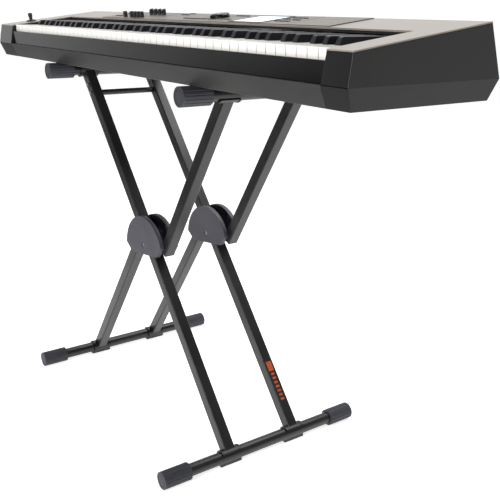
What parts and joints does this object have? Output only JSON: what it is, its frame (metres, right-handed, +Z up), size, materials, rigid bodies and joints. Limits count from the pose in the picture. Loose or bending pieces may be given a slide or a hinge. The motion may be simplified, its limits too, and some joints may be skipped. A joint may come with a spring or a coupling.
{
  "type": "digital piano on folding stand",
  "caption": "Slim stage piano with a full weighted keyboard, sliders, knobs, dial and display, resting on the padded arms of a folding double-X stand of black steel tube.",
  "frame": {"origin": "on the floor, under the middle of the whole object's box", "axes": "+X along the keyboard to the treble end, -Y towards the player, +Z up"},
  "size_m": [1.37, 0.479, 0.884],
  "materials": {
    "stand_black": "semi-gloss black powder coat",
    "rubber": "fluted dark rubber",
    "cover_plastic": "moulded dark grey plastic",
    "zinc_steel": "zinc plated",
    "case_black": "satin black moulding",
    "end_black": "satin black moulding",
    "rear_steel": "fine textured black",
    "champagne_paint": "satin champagne grey paint",
    "panel_film": "dark champagne printed film",
    "wall_black": "matt black",
    "felt": "black felt",
    "bed_aluminium": "bare",
    "board_green": "solder mask",
    "display_glass": "lit display",
    "socket_black": "black",
    "control_black": "soft black",
    "dial_black": "gloss black",
    "key_white": "ivory-feel key tops",
    "key_black": "satin black"
  },
  "bodies": {
    "right_foot": {"right_foot_tube": "stand_black", "right_foot_rubber": "rubber"},
    "through_frame": {"front_through_leg": "stand_black", "rear_through_leg": "stand_black", "through_leg_saddles": "stand_black", "cross_brace": "stand_black", "brace_bolts": "zinc_steel", "lock_pawls": "zinc_steel"},
    "split_frame": {"front_upper_leg": "stand_black", "rear_upper_leg": "stand_black", "front_lower_leg": "stand_black", "rear_lower_leg": "stand_black", "split_leg_saddles": "stand_black", "front_lock_covers": "cover_plastic", "rear_lock_covers": "cover_plastic", "lock_racks": "zinc_steel", "pivot_bolts": "zinc_steel"},
    "left_foot": {"left_foot_tube": "stand_black", "left_foot_rubber": "rubber"},
    "left_arm": {"left_arm_tube": "stand_black", "left_arm_grips": "rubber"},
    "right_arm": {"right_arm_tube": "stand_black", "right_arm_grips": "rubber"},
    "piano": {"bottom_case": "case_black", "top_panel": "champagne_paint", "control_panel": "panel_film", "bass_end_block": "end_black", "treble_end_block": "end_black", "front_rail": "case_black", "key_wall": "wall_black", "felt_strip": "felt", "key_bed": "bed_aluminium", "key_pivot_rod": "zinc_steel", "main_board": "board_green", "display_window": "display_glass", "rear_panel": "rear_steel", "rear_sockets": "socket_black", "power_inlet": "socket_black", "piano_feet": "rubber", "case_screws": "zinc_steel", "bender_base": "control_black"},
    "c_keys": {"c_keys": "key_white"},
    "d_keys": {"d_keys": "key_white"},
    "e_keys": {"e_keys": "key_white"},
    "f_keys": {"f_keys": "key_white"},
    "g_keys": {"g_keys": "key_white"},
    "a_keys": {"a_keys": "key_white"},
    "b_keys": {"b_keys": "key_white"},
    "paired_sharps": {"paired_sharps": "key_black"},
    "triple_sharps": {"triple_sharps": "key_black"},
    "bender_lever": {"bender_lever": "control_black"},
    "panel_buttons": {"panel_buttons": "control_black"},
    "value_dial": {"value_dial": "dial_black"},
    "tone_knob_1": {"tone_knob_1": "control_black"},
    "tone_knob_2": {"tone_knob_2": "control_black"},
    "tone_knob_3": {"tone_knob_3": "control_black"},
    "tone_knob_4": {"tone_knob_4": "control_black"},
    "volume_slider": {"volume_slider": "control_black"},
    "level_sliders": {"level_sliders": "control_black"},
    "power_switch": {"power_switch": "socket_black"}
  },
  "joints": [
    {"name": "stand_height", "type": "hinge", "parent": "right_foot", "child": "through_frame", "pos_m": [0.29128, 0, 0.0176], "axis": [0, 1, 0], "range_deg": [-15, 34]},
    {"name": "x_pivot", "type": "hinge", "parent": "through_frame", "child": "split_frame", "pos_m": [-0.023, 0, 0.38818], "axis": [0, 1, 0], "range_deg": [-68, 30]},
    {"name": "left_foot_turn", "type": "hinge", "parent": "split_frame", "child": "left_foot", "pos_m": [-0.33727, 0, 0.0176], "axis": [0, 1, 0], "range_deg": [-15, 34]},
    {"name": "left_arm_turn", "type": "hinge", "parent": "through_frame", "child": "left_arm", "pos_m": [-0.32408, 0, 0.7432], "axis": [0, 1, 0], "range_deg": [-34, 15]},
    {"name": "right_arm_turn", "type": "hinge", "parent": "split_frame", "child": "right_arm", "pos_m": [0.27808, 0, 0.7432], "axis": [0, 1, 0], "range_deg": [-15, 34]},
    {"name": "piano_lift", "type": "slide", "parent": "left_arm", "child": "piano", "axis": [0, 0, 1], "range_m": [0, 0.3]},
    {"name": "c_keys_press", "type": "hinge", "parent": "piano", "child": "c_keys", "pos_m": [0, 0.06, 0.8258], "axis": [1, 0, 0], "range_deg": [0, 2.66], "stiffness_Nm_per_rad": 10.5, "springref_deg": -7.45},
    {"name": "d_keys_press", "type": "hinge", "parent": "piano", "child": "d_keys", "pos_m": [0, 0.06, 0.8258], "axis": [1, 0, 0], "range_deg": [0, 2.66], "stiffness_Nm_per_rad": 10.5, "springref_deg": -7.45},
    {"name": "e_keys_press", "type": "hinge", "parent": "piano", "child": "e_keys", "pos_m": [0, 0.06, 0.8258], "axis": [1, 0, 0], "range_deg": [0, 2.66], "stiffness_Nm_per_rad": 10.5, "springref_deg": -7.45},
    {"name": "f_keys_press", "type": "hinge", "parent": "piano", "child": "f_keys", "pos_m": [0, 0.06, 0.8258], "axis": [1, 0, 0], "range_deg": [0, 2.66], "stiffness_Nm_per_rad": 10.5, "springref_deg": -7.45},
    {"name": "g_keys_press", "type": "hinge", "parent": "piano", "child": "g_keys", "pos_m": [0, 0.06, 0.8258], "axis": [1, 0, 0], "range_deg": [0, 2.66], "stiffness_Nm_per_rad": 10.5, "springref_deg": -7.45},
    {"name": "a_keys_press", "type": "hinge", "parent": "piano", "child": "a_keys", "pos_m": [0, 0.06, 0.8258], "axis": [1, 0, 0], "range_deg": [0, 2.66], "stiffness_Nm_per_rad": 10.5, "springref_deg": -7.45},
    {"name": "b_keys_press", "type": "hinge", "parent": "piano", "child": "b_keys", "pos_m": [0, 0.06, 0.8258], "axis": [1, 0, 0], "range_deg": [0, 2.66], "stiffness_Nm_per_rad": 10.5, "springref_deg": -7.45},
    {"name": "paired_sharps_press", "type": "hinge", "parent": "piano", "child": "paired_sharps", "pos_m": [0, 0.06, 0.8258], "axis": [1, 0, 0], "range_deg": [0, 2.66], "stiffness_Nm_per_rad": 15, "springref_deg": -7.45},
    {"name": "triple_sharps_press", "type": "hinge", "parent": "piano", "child": "triple_sharps", "pos_m": [0, 0.06, 0.8258], "axis": [1, 0, 0], "range_deg": [0, 2.66], "stiffness_Nm_per_rad": 24, "springref_deg": -7.45},
    {"name": "bender_tilt", "type": "hinge", "parent": "piano", "child": "bender_lever", "pos_m": [-0.638, -0.098, 0.84741], "axis": [0, 0.9915, 0.1297], "range_deg": [-20, 20], "stiffness_Nm_per_rad": 0.06},
    {"name": "buttons_press", "type": "slide", "parent": "piano", "child": "panel_buttons", "axis": [0, 0.1297, -0.9915], "range_m": [0, 0.0008], "stiffness_N_per_m": 600, "springref_m": -0.001},
    {"name": "value_dial_turn", "type": "hinge", "parent": "piano", "child": "value_dial", "pos_m": [0.052, 0.051, 0.86691], "axis": [0, -0.1297, 0.9915], "continuous": true},
    {"name": "tone_knob_1_turn", "type": "hinge", "parent": "piano", "child": "tone_knob_1", "pos_m": [-0.258, 0.06, 0.86808], "axis": [0, -0.1297, 0.9915], "range_deg": [-140, 140]},
    {"name": "tone_knob_2_turn", "type": "hinge", "parent": "piano", "child": "tone_knob_2", "pos_m": [-0.238, 0.06, 0.86808], "axis": [0, -0.1297, 0.9915], "range_deg": [-140, 140]},
    {"name": "tone_knob_3_turn", "type": "hinge", "parent": "piano", "child": "tone_knob_3", "pos_m": [-0.218, 0.06, 0.86808], "axis": [0, -0.1297, 0.9915], "range_deg": [-140, 140]},
    {"name": "tone_knob_4_turn", "type": "hinge", "parent": "piano", "child": "tone_knob_4", "pos_m": [-0.198, 0.06, 0.86808], "axis": [0, -0.1297, 0.9915], "range_deg": [-140, 140]},
    {"name": "volume_slide", "type": "slide", "parent": "piano", "child": "volume_slider", "axis": [0, 0.9915, 0.1297], "range_m": [-0.008, 0.016]},
    {"name": "levels_slide", "type": "slide", "parent": "piano", "child": "level_sliders", "axis": [0, 0.9915, 0.1297], "range_m": [-0.008, 0.016]},
    {"name": "power_switch_rock", "type": "hinge", "parent": "piano", "child": "power_switch", "pos_m": [0.5, 0.112, 0.8233], "axis": [1, 0, 0], "range_deg": [-6, 6]}
  ],
  "couplings": [
    {"joint": "x_pivot", "follows": "stand_height", "ratio": -2},
    {"joint": "left_foot_turn", "follows": "stand_height", "ratio": 1},
    {"joint": "left_arm_turn", "follows": "stand_height", "ratio": -1},
    {"joint": "right_arm_turn", "follows": "stand_height", "ratio": 1}
  ]
}
